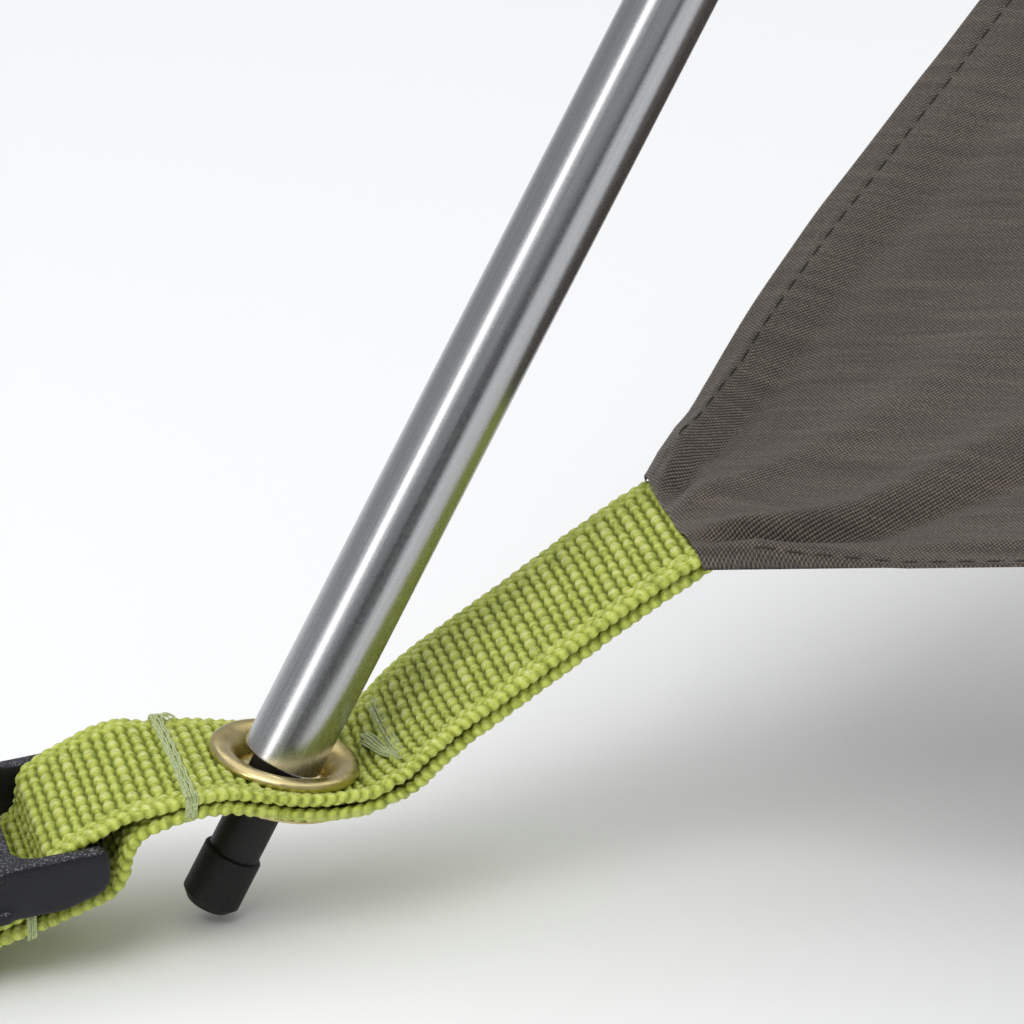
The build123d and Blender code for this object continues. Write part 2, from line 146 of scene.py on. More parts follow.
def ramp(tree, factor, stops):
    """A colour ramp over a socket, from (position, colour) stops; returns its colour."""
    node = tree.nodes.new("ShaderNodeValToRGB")
    elements = node.color_ramp.elements
    while len(elements) < len(stops):
        elements.new(0.5)
    for element, (position, colour) in zip(elements, stops):
        element.position = position
        element.color = (*colour, 1.0)
    tree.links.new(factor, node.inputs["Fac"])
    return node.outputs["Color"]


def linear(*levels):
    """Scene colour of an sRGB colour given from 0 to 255."""
    return tuple(((c / 255 + 0.055) / 1.055) ** 2.4 if c > 10 else c / 255 / 12.92 for c in levels)


def grey(value):
    """The same value three times, for a ramp that drives a number."""
    return (value,) * 3


def noise(tree, vector, scale, detail=3.0, roughness=0.55):
    """A noise texture's value over a vector socket; scale is in features per metre."""
    node = add(tree, "ShaderNodeTexNoise", Scale=scale, Detail=detail, Roughness=roughness)
    tree.links.new(vector, node.inputs["Vector"])
    return node.outputs["Fac"]


def stretched(tree, vector, x, y, z):
    """A vector socket with its axes scaled."""
    node = tree.nodes.new("ShaderNodeMapping")
    node.inputs["Scale"].default_value = (x, y, z)
    tree.links.new(vector, node.inputs["Vector"])
    return node.outputs["Vector"]


def bump(tree, shader, height, depth, strength=1.0):
    """Bumps a shader's normal by a height socket."""
    node = add(tree, "ShaderNodeBump", Strength=strength, Distance=depth)
    tree.links.new(height, node.inputs["Height"])
    tree.links.new(node.outputs["Normal"], shader.inputs["Normal"])


def webbing_material():
    """Lime yarn, with painted shade in the hollows between the floats, a painted highlight on their crowns,
    and fine filaments along them.
    """
    material, tree, shader = new_material("lime_webbing")
    relief = add(tree, "ShaderNodeAttribute", attribute_name="relief").outputs["Fac"]
    place = add(tree, "ShaderNodeUVMap", uv_map="yarn").outputs["UV"]
    filaments = noise(tree, stretched(tree, place, 1100.0, 4200.0, 1.0), 1.0, 4.0, 0.7)
    patches = noise(tree, place, 420.0, 3.0)
    # Colour by the weave's relief: the middle of the ramp is the yarn's own lime, its dark end painted shade
    # in the hollows, its pale end a painted highlight on the crowns.
    body = ramp(tree, relief, [(0.0, linear(92, 104, 18)), (0.3, linear(158, 170, 48)),
                               (0.6, linear(200, 211, 88)), (0.85, linear(218, 226, 118)),
                               (1.0, linear(234, 236, 156))])
    mix = add(tree, "ShaderNodeMixRGB", blend_type="MULTIPLY", Fac=1.0)
    tree.links.new(body, mix.inputs["Color1"])
    tint = calc(tree, "ADD", calc(tree, "MULTIPLY", filaments, 0.75), calc(tree, "MULTIPLY", patches, 0.25))
    shade = ramp(tree, tint, [(0.36, (0.4, 0.46, 0.22)), (0.5, (0.84, 0.86, 0.74)), (0.62, (1.0, 1.0, 1.0))])
    tree.links.new(shade, mix.inputs["Color2"])
    tree.links.new(mix.outputs["Color"], shader.inputs["Base Color"])
    gloss = ramp(tree, filaments, [(0.3, grey(0.46)), (0.7, grey(0.26))])
    tree.links.new(gloss, shader.inputs["Roughness"])
    bump(tree, shader, filaments, 0.0003, 1.0)
    shader.inputs["Specular IOR Level"].default_value = 0.6
    return material


def thread_material(name, dark, pale):
    """Twisted sewing thread."""
    material, tree, shader = new_material(name)
    place = add(tree, "ShaderNodeTexCoord").outputs["Object"]
    fibre = noise(tree, place, 4500.0, 3.0)
    tree.links.new(ramp(tree, fibre, [(0.3, dark), (0.65, pale)]), shader.inputs["Base Color"])
    shader.inputs["Roughness"].default_value = 0.6
    bump(tree, shader, fibre, 0.0001, 0.7)
    return material


def fly_material():
    """Taupe plain weave, its two yarn sets from the sheet's own cut directions."""
    material, tree, shader = new_material("taupe_fly")
    place = add(tree, "ShaderNodeUVMap", uv_map="cut").outputs["UV"]
    split = add(tree, "ShaderNodeSeparateXYZ")
    tree.links.new(place, split.inputs[0])
    turn = pi / (FLY_YARN * MM)
    across = calc(tree, "SINE", calc(tree, "MULTIPLY", split.outputs[0], turn))
    along = calc(tree, "SINE", calc(tree, "MULTIPLY", split.outputs[1], turn))
    weave = calc(tree, "MULTIPLY", across, along)
    fuzz = noise(tree, place, 2600.0, 3.0)
    slub = noise(tree, stretched(tree, place, 60.0, 700.0, 1.0), 1.0, 2.0)
    level = calc(tree, "ADD", calc(tree, "MULTIPLY", weave, 0.3), calc(tree, "MULTIPLY", fuzz, 0.55))
    level = calc(tree, "ADD", level, calc(tree, "MULTIPLY", slub, 0.35))
    tree.links.new(ramp(tree, level, [(0.12, linear(38, 31, 27)), (0.45, linear(76, 67, 60)),
                                      (0.8, linear(138, 124, 105))]), shader.inputs["Base Color"])
    shader.inputs["Roughness"].default_value = 0.48
    shader.inputs["Sheen Weight"].default_value = 0.08
    shader.inputs["Sheen Roughness"].default_value = 0.5
    bump(tree, shader, weave, 0.00012, 1.0)
    return material


def brass_material():
    """Rolled brass with handling marks."""
    material, tree, shader = new_material("grommet_brass")
    place = add(tree, "ShaderNodeTexCoord").outputs["Object"]
    marks = noise(tree, place, 900.0, 5.0)
    wear = noise(tree, place, 220.0, 3.0)
    tree.links.new(ramp(tree, wear, [(0.35, linear(190, 172, 114)), (0.65, linear(216, 200, 150))]),
                   shader.inputs["Base Color"])
    shader.inputs["Metallic"].default_value = 1.0
    gloss = ramp(tree, marks, [(0.35, grey(0.22)), (0.7, grey(0.42))])
    tree.links.new(gloss, shader.inputs["Roughness"])
    bump(tree, shader, marks, 0.00002, 0.35)
    return material


def aluminium_material():
    """Drawn aluminium tube, faintly streaked along its axis."""
    material, tree, shader = new_material("drawn_aluminium")
    place = add(tree, "ShaderNodeTexCoord").outputs["Object"]
    turn = tree.nodes.new("ShaderNodeMapping")
    turn.vector_type = "TEXTURE"
    turn.inputs["Rotation"].default_value = (0, atan2(POLE_AXIS[0], POLE_AXIS[2]), 0)
    tree.links.new(place, turn.inputs["Vector"])
    streaks = noise(tree, stretched(tree, turn.outputs["Vector"], 2600.0, 2600.0, 25.0), 1.0, 4.0)
    specks = noise(tree, place, 1500.0, 2.0)
    tree.links.new(ramp(tree, streaks, [(0.3, (0.40, 0.405, 0.41)), (0.7, (0.50, 0.505, 0.51))]),
                   shader.inputs["Base Color"])
    shader.inputs["Metallic"].default_value = 1.0
    rough = calc(tree, "ADD", calc(tree, "MULTIPLY", streaks, 0.12), calc(tree, "MULTIPLY", specks, 0.08))
    tree.links.new(calc(tree, "ADD", rough, 0.17), shader.inputs["Roughness"])
    bump(tree, shader, streaks, 0.000008, 0.3)
    return material


def black_material(name, colour, roughness, grain, depth, gloss_and_painted_glints=0.0):
    """Black plastic or rubber with a fine moulded grain; where asked, glossier, with painted glints: pale
    bluish specks in the colour of its upward faces, where the light falls.
    """
    material, tree, shader = new_material(name)
    place = add(tree, "ShaderNodeTexCoord").outputs["Object"]
    pits = noise(tree, place, grain, 4.0, 0.65)
    scuffs = noise(tree, place, 160.0, 4.0)
    pale = tuple(c * 1.6 + 0.002 for c in colour)
    body = ramp(tree, scuffs, [(0.4, colour), (0.75, pale)])
    # Painted glints: pale bluish specks mixed into the colour of upward faces only, where the light falls on
    # them.
    if gloss_and_painted_glints:
        facing = add(tree, "ShaderNodeSeparateXYZ")
        tree.links.new(add(tree, "ShaderNodeNewGeometry").outputs["Normal"], facing.inputs[0])
        upward = ramp(tree, facing.outputs[2], [(0.35, (0, 0, 0)), (0.7, (1, 1, 1))])
        glints = ramp(tree, noise(tree, place, grain, 1.0), [(0.57, (0, 0, 0)), (0.63, (1, 1, 1))])
        mix = add(tree, "ShaderNodeMixRGB", blend_type="MIX")
        tree.links.new(calc(tree, "MULTIPLY", upward, glints), mix.inputs["Fac"])
        tree.links.new(body, mix.inputs["Color1"])
        # The colour of the painted glints.
        mix.inputs["Color2"].default_value = (0.13, 0.13, 0.16, 1)
        body = mix.outputs["Color"]
    tree.links.new(body, shader.inputs["Base Color"])
    shader.inputs["Specular IOR Level"].default_value = 0.35
    gloss = ramp(tree, pits, [(0.3, grey(roughness + 0.12)), (0.7, grey(roughness - 0.1 - gloss_and_painted_glints))])
    tree.links.new(gloss, shader.inputs["Roughness"])
    bump(tree, shader, pits, depth, 0.8)
    return material


def cord_material():
    """Braided elastic cord."""
    material, tree, shader = new_material("elastic_cord")
    place = add(tree, "ShaderNodeTexCoord").outputs["Object"]
    braid = noise(tree, place, 2200.0, 2.0)
    tree.links.new(ramp(tree, braid, [(0.35, (0.30, 0.30, 0.29)), (0.6, (0.62, 0.62, 0.6))]),
                   shader.inputs["Base Color"])
    shader.inputs["Roughness"].default_value = 0.8
    bump(tree, shader, braid, 0.0002, 0.8)
    return material


def ground_material():
    """Pale, plain floor."""
    material, _, shader = new_material("pale_floor")
    shader.inputs["Base Color"].default_value = (0.93, 0.93, 0.93, 1)
    shader.inputs["Roughness"].default_value = 0.9
    return material


# Mesh helpers

def new_object(name, points, faces, material, smooth=True):
    """An object from points in millimetres and a rectangular array of faces."""
    points = np.asarray(points, dtype=np.float64) * MM
    faces = np.asarray(faces, dtype=np.int64)
    mesh = bpy.data.meshes.new(name)
    mesh.vertices.add(len(points))
    mesh.vertices.foreach_set("co", points.ravel())
    sides = faces.shape[1]
    mesh.loops.add(faces.size)
    mesh.loops.foreach_set("vertex_index", faces.ravel())
    mesh.polygons.add(len(faces))
    mesh.polygons.foreach_set("loop_start", np.arange(len(faces)) * sides)
    mesh.polygons.foreach_set("loop_total", np.full(len(faces), sides))
    mesh.update(calc_edges=True)
    mesh.polygons.foreach_set("use_smooth", np.full(len(faces), smooth))
    mesh.materials.append(material)
    thing = bpy.data.objects.new(name, mesh)
    bpy.context.scene.collection.objects.link(thing)
    return thing


def grid_faces(rows, columns, wrap=False):
    """Quads of a grid of points, its columns closed into a tube if wrap."""
    strips = columns if wrap else columns - 1
    row, column = np.meshgrid(np.arange(rows - 1), np.arange(strips), indexing="ij")
    after = (column + 1) % columns
    a, b = row * columns + column, row * columns + after
    c, d = (row + 1) * columns + after, (row + 1) * columns + column
    return np.stack([a, b, c, d], axis=-1).reshape(-1, 4)


def set_uv(thing, name, per_point):
    """A UV map from one pair of metres for each point."""
    layer = thing.data.uv_layers.new(name=name)
    corners = np.empty(len(thing.data.loops), dtype=np.int64)
    thing.data.loops.foreach_get("vertex_index", corners)
    layer.data.foreach_set("uv", np.asarray(per_point)[corners].ravel())


def resampled(points, step):
    """Points evenly spaced along a smooth curve through the given ones (Catmull-Rom, any dimension)."""
    p = np.asarray(points, dtype=float)
    p = np.vstack([2 * p[0] - p[1], p, 2 * p[-1] - p[-2]])
    fine = []
    for i in range(1, len(p) - 2):
        t = np.linspace(0, 1, 24, endpoint=False)[:, None]
        fine.append(0.5 * (2 * p[i] + (p[i + 1] - p[i - 1]) * t
                           + (2 * p[i - 1] - 5 * p[i] + 4 * p[i + 1] - p[i + 2]) * t ** 2
                           + (3 * p[i] - p[i - 1] - 3 * p[i + 1] + p[i + 2]) * t ** 3))
    fine = np.vstack(fine + [p[-2:-1]])
    run = np.concatenate([[0], np.cumsum(np.linalg.norm(np.diff(fine, axis=0), axis=1))])
    count = max(2, int(round(run[-1] / step)) + 1)
    places = np.linspace(0, run[-1], count)
    return np.stack([np.interp(places, run, fine[:, k]) for k in range(p.shape[1])], axis=1), places


def tangents(points):
    """Unit tangents of a run of points."""
    t = np.gradient(points, axis=0)
    return t / np.linalg.norm(t, axis=1)[:, None]


THREAD_SIDES = 8
THREAD_END = np.array([[0, 1, 2, 3], [0, 3, 4, 5], [0, 5, 6, 7]])    # an eight-sided end, as quads
ASKEW = (0.12, 0.33, 0.93)     # a direction that no thread runs along


def tubes(name, runs, radius, material):
    """Threads as one mesh: a closed round tube along each run of points."""
    angles = [2 * pi * k / THREAD_SIDES for k in range(THREAD_SIDES)]
    points, faces, base = [], [], 0
    for run in runs:
        run = np.asarray(run, dtype=float)
        along = tangents(run)
        side = np.cross(along, ASKEW)
        side /= np.linalg.norm(side, axis=1)[:, None]
        up = np.cross(side, along)
        size = np.full(len(run), radius)
        size[0] = size[-1] = radius * 0.35
        lines = [run + (side * cos(angle) + up * sin(angle)) * size[:, None] for angle in angles]
        points.append(np.stack(lines, axis=1).reshape(-1, 3))
        faces.append(grid_faces(len(run), THREAD_SIDES, wrap=True) + base)
        faces.append(THREAD_END + base)
        faces.append(THREAD_END[:, ::-1] + base + (len(run) - 1) * THREAD_SIDES)
        base += len(points[-1])
    return new_object(name, np.vstack(points), np.vstack(faces), material)


# Webbing

def strap_line():
    """Middle of the whole length of webbing: in along the top layer, round the peg loop, back underneath."""
    seam, _ = resampled(DOUBLED, 1.5)
    along = tangents(seam)
    side = np.stack([along[:, 1], -along[:, 0]], axis=1) * PLY_STEP
    line = np.vstack([seam + side, OVER_BAR, PEG_LOOP, UNDER_BAR[::-1], (seam - side)[::-1]])
    return resampled(line, PICK_PITCH / YARN_STEPS)


def edge_rise(x, y):
    """How far the strap stands above its middle line at a place, from the grommet."""
    near, far = (np.interp(x, [c[0] for c in cup], [c[1] for c in cup]) for cup in (NEAR_CUP, FAR_CUP))
    rise = np.where(np.asarray(y) < 0, near, far)
    start = np.sqrt(np.clip(7.4 ** 2 - x ** 2, 0, None))
    share = np.clip((np.abs(y) - start) / (WEBBING_WIDTH / 2 - start), 0, 1)
    return rise * share ** 1.5


def scatter(a, b):
    """A repeatable number from -1 to 1 for each pair of whole numbers."""
    value = np.sin(a * 12.9898 + b * 78.233) * 43758.5453
    return 2 * (value - np.floor(value)) - 1


def woven(u, v, back):
    """Height of the weave at a place along and across: rows of floats, every second row finer and lower."""
    pair = 2 * END_PITCH
    phase = u / PICK_PITCH + back
    column = np.round(phase)
    along = (phase - column) * PICK_PITCH
    odd = column % 2
    first = np.floor(v / pair - 0.5 * odd)
    height = np.full(u.shape, -0.24)
    for k in (-1, 0, 1):
        end = first + k
        middle = (end + 0.5 + 0.5 * odd) * pair + 0.08 * scatter(end + 40, column)
        lift = np.where(odd > 0, 0.29, 0.36) + 0.07 * scatter(end, column)
        reach, half = np.where(odd > 0, 0.54, 0.62), np.where(odd > 0, 0.62, 0.7)
        bead = lift - 0.4 * np.abs(along / reach) ** 2.6 - 0.3 * np.abs((v - middle) / half) ** 2.3
        height = np.maximum(height, bead)
    teeth = 0.06 * np.cos(2 * pi * v / END_PITCH) + 0.04 * scatter(np.round(v / END_PITCH), column)
    rib = np.where(odd > 0, 0.15, 0.07) + teeth - 0.36 * (along / np.where(odd > 0, 0.4, 0.55)) ** 2
    height = np.maximum(height, rib)
    grain = scatter(np.round(u / GRAIN_LONG), np.round(v / GRAIN_WIDE) + 7 * back)
    return height + 0.03 * np.cos(2 * pi * (v + 0.3 * u) / 0.27) + 0.022 * grain


def selvedge(u, v):
    """Height of the edge weave: two columns of slanted floats that meet in a chevron."""
    out = np.abs(v) - SELVEDGE
    slant = 0.55 * np.abs(out - EDGE_YARN)
    column = np.floor(out / EDGE_YARN)
    phase = (u + slant) / PICK_PITCH + 0.5 * column
    across = (out - (column + 0.5) * EDGE_YARN) / 0.7
    grain = scatter(np.round(u / GRAIN_LONG), np.round(v / GRAIN_WIDE))
    ridges = 0.03 * np.cos(2 * pi * (u + 1.6 * out) / 0.26) + 0.02 * grain
    floats = 0.3 * np.abs(np.cos(pi * phase)) - 0.32 * across ** 2
    return floats + 0.06 * scatter(column, np.floor(phase)) + ridges


def build_webbing(material):
    """The one length of webbing, as a closed woven strip, holed for the grommet's barrel."""
    line, u = strap_line()
    along = tangents(line)
    normal = np.stack([along[:, 1], -along[:, 0]], axis=1)
    count = int(WEBBING_WIDTH / END_PITCH * YARN_STEPS)
    v = np.linspace(-WEBBING_WIDTH / 2, WEBBING_WIDTH / 2, count + 1)
    faces_v = np.concatenate([v, v[::-1]])
    side = np.concatenate([np.ones(count + 1), -np.ones(count + 1)])
    uu, vv = np.meshgrid(u, faces_v, indexing="ij")
    sides = np.broadcast_to(side, uu.shape)
    plain = woven(uu, vv, np.where(sides > 0, 0.0, 1.0))
    edge = selvedge(uu, vv)
    share = np.clip((np.abs(vv) - SELVEDGE) / 0.3, 0, 1)
    relief = plain * (1 - share) + edge * share
    close = np.clip((WEBBING_WIDTH / 2 - np.abs(vv)) / 0.45, 0, 1)
    thick = PLY_BASE * (0.45 + 0.55 * np.sqrt(close)) + relief * (0.35 + 0.65 * close)
    scallop = 0.28 * np.abs(np.cos(pi * uu / PICK_PITCH)) * (1 - close)
    lower = np.clip((uu - u[-1] + LOWER_LENGTH) / LOWER_EASE, 0, 1)
    y = vv + np.sign(vv) * scallop + LOWER_SHIFT * lower
    x = line[:, 0][:, None] + normal[:, 0][:, None] * thick * sides
    z = line[:, 1][:, None] + normal[:, 1][:, None] * thick * sides
    z = z + edge_rise(np.broadcast_to(line[:, 0][:, None], x.shape), y)
    middle = strap_middle(x)
    pressed = middle + (z - middle) * np.interp(x, [SEWN_FROM, SEWN_FLAT], [1.0, 0.5])
    z = np.where(x > SEWN_FROM, pressed, z)
    x, y, z = seated(x, y, z)
    points = np.stack([x, y, z], axis=-1).reshape(-1, 3) + GROMMET
    quads = grid_faces(len(u), len(faces_v), wrap=True)
    centres = points[quads].mean(axis=1) - GROMMET
    axis = np.array((sin(GROMMET_TILT), 0, cos(GROMMET_TILT)))
    reach = np.linalg.norm(centres - np.outer(centres @ axis, axis), axis=1)
    holed = (reach < BARREL_REACH) & (centres[:, 2] > BARREL_FLOOR)
    strap = new_object("webbing", points, quads[~holed], material)
    set_uv(strap, "yarn", np.stack([uu.ravel(), vv.ravel()], axis=1) * MM)
    # The relief, from 0 in the hollows to 1 on the crowns, also sets the colour: painted shade low, painted
    # highlight high.
    attribute = strap.data.attributes.new("relief", "FLOAT", "POINT")
    attribute.data.foreach_set("value", np.clip((relief.ravel() + 0.3) / 0.62, 0, 1))
    return strap


def seated(x, y, z):
    """Presses the webbing down under the grommet's rim and up over its washer."""
    tilt_sin, tilt_cos = sin(GROMMET_TILT), cos(GROMMET_TILT)
    out = x * tilt_cos - z * tilt_sin
    up = x * tilt_sin + z * tilt_cos
    reach = np.sqrt(out ** 2 + y ** 2)
    roof = np.interp(reach, *zip(*RIM_PRESS))
    base = np.interp(reach, *zip(*WASHER_PRESS))
    near = reach < RIM_PRESS[-1][0]
    up = np.where(near, np.clip(up, base, roof), up)
    return out * tilt_cos + up * tilt_sin, y, -out * tilt_sin + up * tilt_cos


def strap_middle(x):
    """Height of the face between the two layers, at a place inwards from the grommet."""
    places = sorted(DOUBLED)
    return np.interp(x, [p[0] for p in places], [p[1] for p in places])


def on_strap(x, y, lift):
    """A point over the doubled strap's upper face, from the grommet."""
    return np.array((x, y, strap_middle(x) + edge_rise(np.array(x), np.array(y)) + 2 * PLY_STEP + lift))


# Tacks

TACK_AT = -11.8                # the outer tack, from the grommet


def outer_tack(material):
    """Dense bar of thread across the strap, wrapped round both edges."""
    half = WEBBING_WIDTH / 2
    runs = []
    for strand in range(8):
        start = TACK_AT + 0.12 * (strand - 3.5) + 0.07 * (1 if strand > 4 else -1)
        swing = 0.09 * scatter(strand, 3)
        over = []
        for y in np.linspace(half + 0.1, -half - 0.1, 40):
            wobble = swing * sin(1.9 * y + strand) + 0.05 * scatter(strand, round(y))
            over.append(on_strap(start + wobble, y, 0.05 + 0.12 * (strand % 2) + 0.03 * sin(4 * y)))
        over = np.array(over)
        foot = over[-1]
        wrap = [foot + np.array((0.03 * strand, -0.22, -0.5)), foot + np.array((0.02, -0.26, -1.5)),
                foot + np.array((0, -0.1, -2.5)), foot + np.array((0, 0.35, -3.1)),
                foot + np.array((0, 1.6, -3.45))]
        head = over[0]
        back = [head + np.array((0, -1.0, -3.75)), head + np.array((0, 0.3, -3.3)),
                head + np.array((0, 0.34, -1.4))]
        runs.append(resampled(np.vstack([back, over, wrap]), 0.5)[0] + GROMMET)
    for loose in range(3):
        inward = half - 1.6 + 0.25 * scatter(loose, 7)
        tip = on_strap(TACK_AT + 1.0 + 0.5 * loose, inward, 0.2 + 0.1 * (loose % 3))
        root = on_strap(TACK_AT + 0.2, half - 0.2, 0.1)
        middle = (tip + root) / 2 + np.array((0, 0.1, 0.35))
        runs.append(resampled([root, middle, tip], 0.3)[0] + GROMMET)
    return tubes("outer_tack_thread", runs, 0.13, material)


def inner_tack(material):
    """Fan of thread bundles that spreads from one hole towards the grommet."""
    runs = []
    gather = (11.3, -5.9)
    for bundle, (x, y) in enumerate([(10.7, 9.5), (9.1, 4.2), (8.9, 3.2)]):
        for strand in range(6):
            away = 0.15 * (strand - 2.5)
            start = gather[0] + 0.1 * scatter(strand, bundle) + 0.3 * away
            line = [on_strap(start, gather[1] - 0.2 * bundle, 0.05)]
            for part in (0.2, 0.5, 0.8):
                sway = away * (0.7 + 0.5 * part)
                line.append(on_strap(gather[0] + (x - gather[0]) * part + sway,
                                     gather[1] + (y - gather[1]) * part, 0.22 + 0.12 * (strand % 2)))
            line.append(on_strap(x + 0.8 * away, y + 0.3 * scatter(bundle, strand), -0.05))
            runs.append(resampled(line, 0.35)[0] + GROMMET)
    return tubes("inner_tack_thread", runs, 0.12, material)


def loop_tack(material):
    """Bar of thread under the buckle, where the two layers come together again."""
    half = WEBBING_WIDTH / 2
    runs = []
    low = np.array(UNDER_BAR)
    for strand in range(5):
        x = -28.4 + 0.17 * (strand - 2)
        z = np.interp(-x, -low[:, 0], low[:, 1]) - 0.95
        y = np.linspace(-half - 0.05, half + 0.05, 24)
        under = np.stack([x + 0.07 * np.sin(2 * y + strand), y, np.full(24, z)], axis=1)
        near = under[0] + np.array([(0, 0.5, 3.5), (0, -0.2, 3.0), (0, -0.25, 1.2)])
        runs.append(resampled(np.vstack([near, under]), 0.5)[0] + GROMMET)
    return tubes("loop_tack_thread", runs, 0.11, material)


# Buckle

def buckle_place():
    """The socket's own frame: X from the webbing bar to the mouth, Z up."""
    turned = Matrix.Rotation(pi, 4, "Z") @ Matrix.Rotation(BUCKLE_PITCH, 4, "Y")
    return Matrix.Translation(Vector(BAR * MM)) @ turned


def prism(outline, low, high):
    """Points and faces of a closed prism: an outline in X and Z, between two widths in Y."""
    n = len(outline)
    points = [(x, low, z) for x, z in outline] + [(x, high, z) for x, z in outline]
    faces = [tuple(range(n)), tuple(range(2 * n - 1, n - 1, -1))]
    faces += [(i, i + n, (i + 1) % n + n, (i + 1) % n) for i in range(n)]
    return points, faces


def build_buckle(material):
    """The socket as one moulding, its edges softened by remeshing and smoothing."""
    rail_inner, rail_outer, flare = 10.5, 12.3, 1.1
    rail = [(-2.8, 2.1), (-2.1, 3.0), (9.0, 3.0), (9.0, -3.0), (2.6, -3.0), (-1.5, -1.9), (-2.6, -0.6)]
    shell = [(8.7, 3.0), (11.0, 3.02), (15.5, 4.0), (29.0, 4.0), (29.0, 2.7), (14.0, 2.7), (12.0, 1.9),
             (8.7, 1.9)]
    fillet, fillet_root = 2.9, 7.6       # radius of the window's corners, and where they meet the crossbar
    parts = []
    for side in (-1, 1):
        low, high = sorted((side * rail_inner, side * rail_outer))
        drop = 0.45 if side < 0 else 0.0
        parts.append(prism([(x, min(z, 3.0 - drop)) for x, z in rail], low, high))
        for top in (1, -1):
            beam = [(8.0, 3.0 * top), (11.0, 3.0 * top), (15.5, 4.0 * top), (29.0, 4.0 * top),
                    (29.0, 1.75 * top), (8.0, 1.75 * top)]
            parts.append(prism(beam, *sorted((side * 9.6, side * (rail_outer + flare * 0.5)))))
        parts.append(prism([(8.0, 2.5), (9.9, 2.5), (9.9, -2.5), (8.0, -2.5)], low, high))
        parts.append(prism([(18.8, 3.5), (29.0, 3.5), (29.0, -3.5), (18.8, -3.5)],
                           *sorted((side * 9.7, side * (rail_outer + flare)))))
        for y in np.arange(10.4, fillet_root, -0.25):
            start = 3.9 + sqrt(fillet ** 2 - (y - fillet_root) ** 2)
            corner = [(start, 3.0), (7.2, 3.0), (7.2, -3.0), (start, -3.0)]
            parts.append(prism(corner, *sorted((side * (y + 0.13), side * (y - 0.13)))))
    for top in (1, -1):
        parts.append(prism([(x, z * top) for x, z in shell], -10.6, 10.6))
    crossbar = [(6.7, 3.0), (8.8, 3.0), (8.8, -3.0), (6.7, -3.0)]
    parts.append(prism(crossbar, -rail_outer + 0.3, rail_outer - 0.3))
    bar = [(1.85 * cos(2 * pi * k / 20), 1.85 * sin(2 * pi * k / 20)) for k in range(20)]
    parts.append(prism(bar, -rail_outer + 0.6, rail_outer - 0.6))
    body = bmesh.new()
    for points, faces in parts:
        made = [body.verts.new(Vector(p) * MM) for p in points]
        for face in faces:
            body.faces.new([made[i] for i in face])
    bmesh.ops.recalc_face_normals(body, faces=body.faces)
    mesh = bpy.data.meshes.new("buckle_moulding")
    body.to_mesh(mesh)
    body.free()
    thing = bpy.data.objects.new("buckle_moulding", mesh)
    bpy.context.scene.collection.objects.link(thing)
    remesh = thing.modifiers.new("remesh", "REMESH")
    remesh.mode = "VOXEL"
    remesh.voxel_size = 0.22 * MM
    remesh.use_smooth_shade = True
    soften = thing.modifiers.new("soften", "SMOOTH")
    soften.factor = 0.5
    soften.iterations = 20
    settle(thing)
    thing.data.materials.append(material)
    thing.data.transform(buckle_place())
    return thing


def settle(thing):
    """Replaces an object's mesh by what its modifiers make of it."""
    final = bpy.data.meshes.new_from_object(thing.evaluated_get(bpy.context.evaluated_depsgraph_get()))
    thing.modifiers.clear()
    thing.data = final


# Fly corner

FLY_YARN = 0.23                # spacing of the fly's yarns
FLY_REACH = 124.0              # length of a hem, from the strap to the far seam
FRONT_HEM = (-28.0, 7.7)       # heading from +X towards +Y, and rise, in degrees
BACK_HEM = (46.0, 22.0)
HEM_START = {-1: np.array((41.5, -10.6, 21.4)), 1: np.array((41.07, 10.6, 21.75))}  # from the grommet
BOW_OUT = np.array((-0.714, 0.700, -0.018))
# How far the back hem bows outwards: (length from the strap, bow)
BOW = [(0, 0.29), (4, 0.15), (10, 0.25), (14.5, 0.76), (21, 1.41), (28, 1.76), (36, 1.76), (43, 1.68),
       (50, 1.27), (58, 0.85), (65, 0.5), (73, 0.0), (95, -0.9), (124, -1.6)]
# How far the sheet arches over the strap's end: (share of the hem's length, rise)
ARCH = [(0.0, 2.1), (0.03, 2.4), (0.055, 2.5), (0.08, 1.7), (0.17, 0.0), (1.0, 0.0)]
SAG = 0.012                    # hollow of the sheet between its hems, as a share of its width
SHEET_MIDDLE = (9.0, 18.0)     # heading and rise of the sheet's middle
WEAVE_ALONG = (-32.0, 5.8)     # heading and rise of one set of yarns
WEAVE_FACE = (0.454, 0.803, 0.385)   # the other set lies in the plane of the first and this
HEM_STITCH = {-1: 0.8, 1: 4.2}       # from a hem's fold to its row of stitches
HEM_FOLD = 0.42                # half the thickness of a folded hem
HEM_BAND = 5.2                 # the strip along a hem that has its own rows of mesh points
FOLD_FADE = 4.0                # the folds die out this close to a hem
FOLD_DEPTH = 1.7               # all folds together, times their own rise
